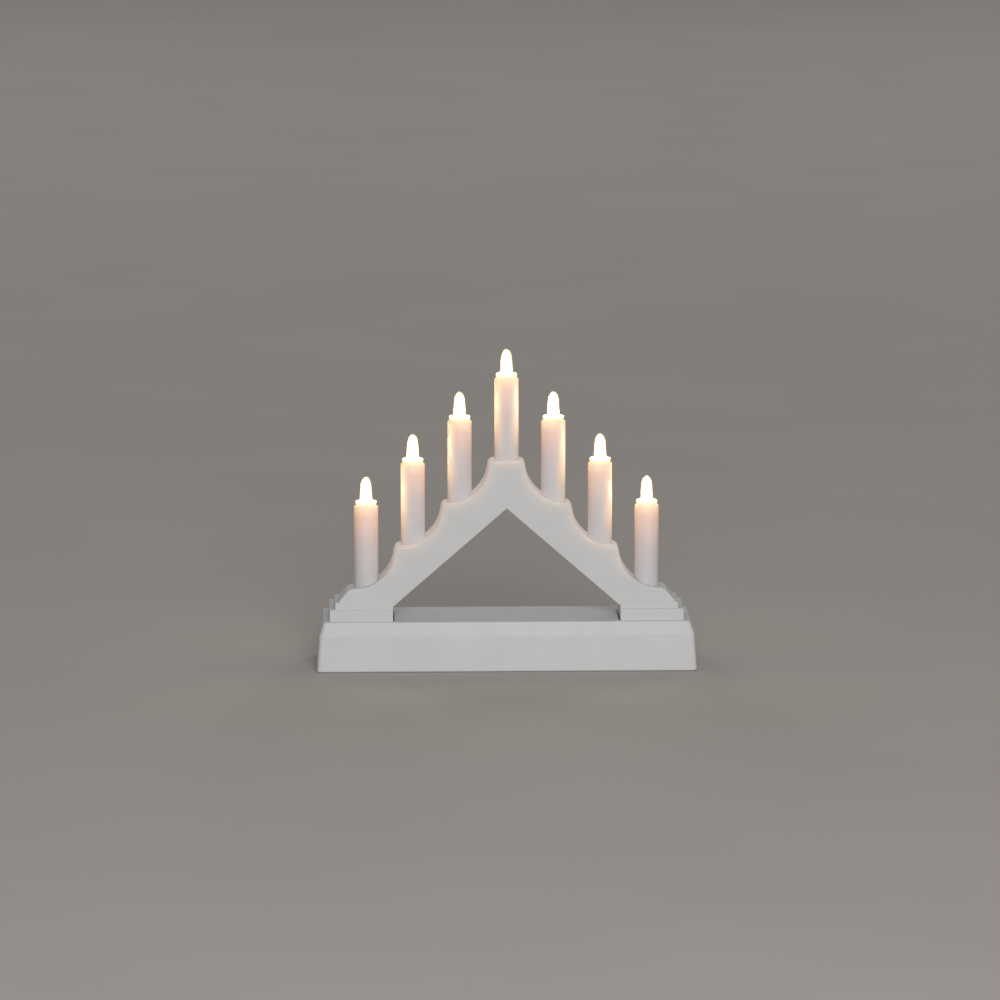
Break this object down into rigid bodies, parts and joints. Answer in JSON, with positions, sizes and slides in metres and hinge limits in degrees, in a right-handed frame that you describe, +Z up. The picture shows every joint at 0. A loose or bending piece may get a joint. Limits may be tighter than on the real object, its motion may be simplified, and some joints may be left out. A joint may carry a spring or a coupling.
{
  "type": "led candle arch",
  "caption": "Stepped white plastic candle arch on a bevelled battery base, with glowing bullet-shaped flame lenses on slim translucent tubes, a rear slide switch and a sliding battery door.",
  "frame": {"origin": "middle of the base housing's footprint, on the surface it stands on", "axes": "+X along the arch to the viewer's right, +Y from the front to the back, +Z up"},
  "size_m": [0.2, 0.0506, 0.1692],
  "materials": {
    "white_plastic": "satin white moulded plastic",
    "candle_plastic": "satin milky plastic, lit warm from its top end",
    "flame_plastic": "glossy frosted plastic, lit warm white",
    "diode_epoxy": "clear glossy epoxy",
    "black_plastic": "satin black plastic",
    "white_wire": "smooth soft vinyl",
    "red_wire": "smooth soft vinyl",
    "black_wire": "smooth soft vinyl",
    "board_resin": "green solder mask over glass resin",
    "tan_resistor": "lacquered ceramic",
    "cell_jacket": "printed steel jacket, left plain",
    "spring_steel": "nickel plated spring steel",
    "screw_steel": "zinc plated steel"
  },
  "bodies": {
    "candlestick": {"base_housing": "white_plastic", "bottom_plate": "white_plastic", "foot_block_left": "white_plastic", "foot_block_right": "white_plastic", "arch_shell": "white_plastic", "arch_back_cover": "white_plastic", "switch_body": "black_plastic", "candle_tube_1": "candle_plastic", "candle_tube_2": "candle_plastic", "candle_tube_3": "candle_plastic", "candle_tube_4": "candle_plastic", "candle_tube_5": "candle_plastic", "candle_tube_6": "candle_plastic", "candle_tube_7": "candle_plastic", "flame_lens_1": "flame_plastic", "flame_lens_2": "flame_plastic", "flame_lens_3": "flame_plastic", "flame_lens_4": "flame_plastic", "flame_lens_5": "flame_plastic", "flame_lens_6": "flame_plastic", "flame_lens_7": "flame_plastic", "diode_1": "diode_epoxy", "diode_2": "diode_epoxy", "diode_3": "diode_epoxy", "diode_4": "diode_epoxy", "diode_5": "diode_epoxy", "diode_6": "diode_epoxy", "diode_7": "diode_epoxy", "diode_lead_1": "white_wire", "diode_lead_2": "white_wire", "diode_lead_3": "white_wire", "diode_lead_4": "white_wire", "diode_lead_5": "white_wire", "diode_lead_6": "white_wire", "diode_lead_7": "white_wire", "arch_harness": "white_wire", "switch_lead": "white_wire", "wire_positive": "red_wire", "wire_negative": "black_wire", "circuit_board": "board_resin", "timer_chip": "black_plastic", "resistor": "tan_resistor", "battery_1": "cell_jacket", "battery_2": "cell_jacket", "contact_bridge": "spring_steel", "contact_positive": "spring_steel", "contact_negative": "spring_steel", "plate_screw_1": "screw_steel", "plate_screw_2": "screw_steel", "plate_screw_3": "screw_steel", "plate_screw_4": "screw_steel", "foot_screw_1": "screw_steel", "foot_screw_2": "screw_steel", "cover_screw_1": "screw_steel", "cover_screw_2": "screw_steel", "cover_screw_3": "screw_steel", "cover_screw_4": "screw_steel"},
    "switch_knob": {"switch_knob": "black_plastic"},
    "battery_door": {"battery_door": "white_plastic"}
  },
  "joints": [
    {"name": "switch_slide", "type": "slide", "parent": "candlestick", "child": "switch_knob", "axis": [1, 0, 0], "range_m": [-0.004, 0]},
    {"name": "door_slide", "type": "slide", "parent": "candlestick", "child": "battery_door", "axis": [1, 0, 0], "range_m": [0, 0.06]}
  ]
}
